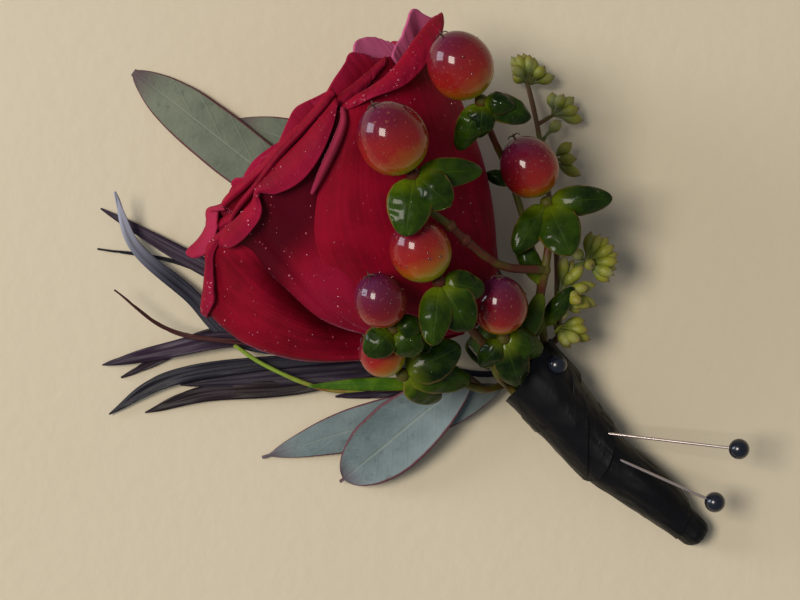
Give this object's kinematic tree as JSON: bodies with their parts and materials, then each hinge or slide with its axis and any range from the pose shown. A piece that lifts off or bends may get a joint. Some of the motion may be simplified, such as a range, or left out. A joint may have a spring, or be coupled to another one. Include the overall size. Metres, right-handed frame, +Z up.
{
  "type": "boutonniere",
  "caption": "Wearable flower with a crimson rose, berry sprigs, seeded eucalyptus, gum leaves and dark willow foliage, bound by a black ribbon and held with pearl-headed pins.",
  "frame": {"origin": "on the table under the middle of the whole part's bounding box, as it lies on its side", "axes": "+X along the table towards the pins' heads, +Y along the table towards the uppermost berry, +Z up"},
  "size_m": [0.1276, 0.0998, 0.0572],
  "materials": {
    "rose_petals": "velvety, with dew drops",
    "rose_stem": "fresh green stem, satin",
    "hypericum_berries": "glossy, dark red turning orange and yellow-green at the base",
    "hypericum_leaves": "glossy green leaves on brown-green stems",
    "eucalyptus_seeds": "powdery yellow-green buds with brown tips",
    "gum_leaves": "matte grey-green with a dark red margin",
    "willow_foliage": "satin, dark purple-brown to black",
    "green_shoot": "satin yellow-green",
    "ribbon": "black satin",
    "pin_steel": "polished steel",
    "pin_pearl": "black imitation pearl, glossy"
  },
  "bodies": {
    "root": {"rose_petals": "rose_petals", "rose_stem": "rose_stem", "hypericum_berry_a": "hypericum_berries", "hypericum_berry_b": "hypericum_berries", "hypericum_berry_c": "hypericum_berries", "hypericum_berry_d": "hypericum_berries", "hypericum_berry_e": "hypericum_berries", "hypericum_berry_f": "hypericum_berries", "hypericum_berry_g": "hypericum_berries", "hypericum_sprig_upper": "hypericum_leaves", "hypericum_sprig_middle": "hypericum_leaves", "hypericum_sprig_lower": "hypericum_leaves", "eucalyptus_seeds": "eucalyptus_seeds", "gum_leaves_back": "gum_leaves", "gum_leaves_front": "gum_leaves", "willow_foliage": "willow_foliage", "green_shoot": "green_shoot", "ribbon_wrap": "ribbon", "pin_shaft_1": "pin_steel", "pin_shaft_2": "pin_steel", "pin_shaft_3": "pin_steel", "pin_bead_1": "pin_pearl", "pin_bead_2": "pin_pearl", "pin_bead_3": "pin_pearl"}
  },
  "joints": []
}
